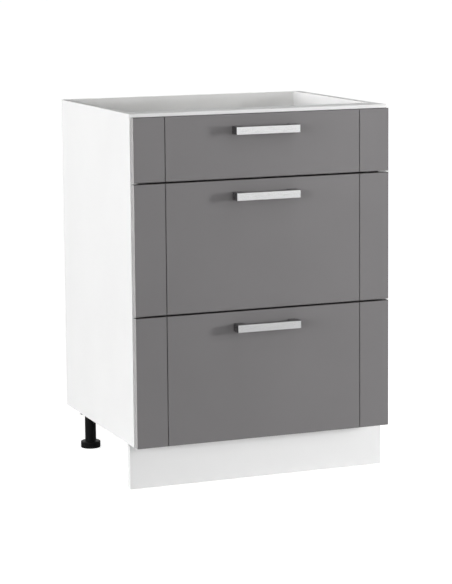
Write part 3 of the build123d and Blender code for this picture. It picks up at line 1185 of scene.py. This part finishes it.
@dataclass
class Studio:
    """Pale floor, soft lamps and the camera at the photograph's viewing angle.

    The focal length and the frame's height are in pixels of the photograph, and the angles are in
    degrees. The floor's lift makes it look white, and its gleam is a painted reflection: a glow that
    only glossy pieces see, which grows from nothing near the cabinet to its full strength over the
    reach.
    """

    frame_height: float = 584.0
    sensor: float = 36.0
    focal_pixels: float = 2175.0
    eye: Point = (-1.7975, -4.5556, 1.1853)
    yaw: float = 21.57
    pitch: float = 7.41
    roll: float = -0.49
    shift: float = -0.12
    view_end: float = 200.0
    glows: tuple[Glow, ...] = (
        Glow((-1.0, 0.0), 5.2),
        Glow((-1.0, 0.0), 2.4, top=0.14, softness=0.05),
        Glow((0.0, -1.0), 1.4, top=0.22),
        Glow((0.0, 1.0), 2.2),
    )
    floor_radius: float = 60.0
    floor_drop: float = 0.3 * MM
    floor_colour: Colour = (0.80, 0.80, 0.80)
    floor_roughness: float = 0.9
    floor_lift: float = 0.87
    # Painted reflection: strength of the floor's glow that only glossy rays see.
    gleam: float = 0.80
    gleam_reach: tuple[float, float] = (1.2, 7.0)
    lamps: tuple[Lamp, ...] = (
        Lamp("low_softbox", (3.18, -1.95, 0.76), (0.0, -0.24, 0.62), 0.4, 72.0),
        Lamp("high_softbox", (3.15, -1.88, 1.45), (0.0, -0.24, 0.62), 0.5, 30.0),
        Lamp("top_softbox", (0.4, -0.9, 1.7), (0.1, -0.1, 0.7), 0.6, 3.6),
    )

    def build(self) -> None:
        """Set up everything that isn't part of the cabinet."""
        bpy.context.scene.view_settings.view_transform = "Standard"
        self.camera()
        self.world()
        self.floor()
        for lamp in self.lamps:
            lamp.build()

    def camera(self) -> None:
        """A camera that sees the cabinet as the photograph does."""
        yaw, pitch, roll = (math.radians(angle) for angle in (self.yaw, self.pitch, self.roll))
        ahead = Vector((math.sin(yaw) * math.cos(pitch), math.cos(yaw) * math.cos(pitch), -math.sin(pitch)))
        level = Vector((math.cos(yaw), -math.sin(yaw), 0.0))
        above = level.cross(ahead)
        across = level * math.cos(roll) + above * math.sin(roll)
        upward = above * math.cos(roll) - level * math.sin(roll)
        data = bpy.data.cameras.new("camera")
        data.sensor_width = self.sensor
        data.lens = self.focal_pixels / self.frame_height * self.sensor
        data.shift_y = self.shift
        data.clip_end = self.view_end
        camera = bpy.data.objects.new("camera", data)
        turn = Matrix((across, upward, -ahead)).transposed().to_4x4()
        camera.matrix_world = Matrix.Translation(self.eye) @ turn
        bpy.context.scene.collection.objects.link(camera)
        bpy.context.scene.camera = camera

    def world(self) -> None:
        """Soft light from the glows, seen as even white by the camera and in reflections."""
        world = bpy.data.worlds.new("studio")
        world.use_nodes = True
        nodes = Nodes(world.node_tree)
        first, *others = self.glows
        light = first.strength_at(nodes)
        for glow in others:
            light = nodes.math("ADD", light, glow.strength_at(nodes))
        path = nodes.add("ShaderNodeLightPath")
        seen = path.outputs["Is Camera Ray"]
        for ray in ("Is Glossy Ray", "Is Transmission Ray"):
            seen = nodes.math("MAXIMUM", seen, path.outputs[ray])
        lit = nodes.math("MULTIPLY", light, nodes.math("SUBTRACT", 1.0, seen))
        background = world.node_tree.nodes["Background"]
        nodes.feed(background, {"Color": WHITE, "Strength": nodes.math("ADD", lit, seen)})
        bpy.context.scene.world = world

    def floor(self) -> None:
        """A plain pale floor that looks white and keeps the cabinet's shadow."""
        floor = Bench.start(bpy.ops.mesh.primitive_circle_add, vertices=96, radius=self.floor_radius,
                            fill_type="NGON", location=(0, 0, -self.floor_drop))
        Bench.settle(floor, "floor")
        graph = Graph("floor", self.floor_roughness, specular=0.0)
        path = graph.add("ShaderNodeLightPath")
        seen = graph.math("MULTIPLY", path.outputs["Is Camera Ray"], self.floor_lift)
        # Painted reflection: glossy rays see the floor glow, nil near the cabinet and full beyond the reach.
        distance = graph.add("ShaderNodeVectorMath", {0: graph.place}, operation="LENGTH")
        level = graph.ramp(distance.outputs["Value"], *self.gleam_reach, 0.0, self.gleam)
        gleam = graph.math("MULTIPLY", path.outputs["Is Glossy Ray"], level)
        strength = graph.math("ADD", seen, gleam)
        graph.feed(graph.shader, {"Emission Color": WHITE, "Emission Strength": strength})
        floor.data.materials.append(graph.finish(self.floor_colour))


# ------------------------------------------------------------------ all together


def main() -> None:
    """Build the studio and the cabinet's parts in order."""
    Studio().build()
    finishes = Finishes()
    Carcass(finishes).build()
    for place in LEG_PLACES:
        Foot(finishes, place).build()
    for name in DRAWERS:
        Drawer(finishes, name).build()
        Runner(finishes, name).build()


if __name__ == "__main__":
    main()
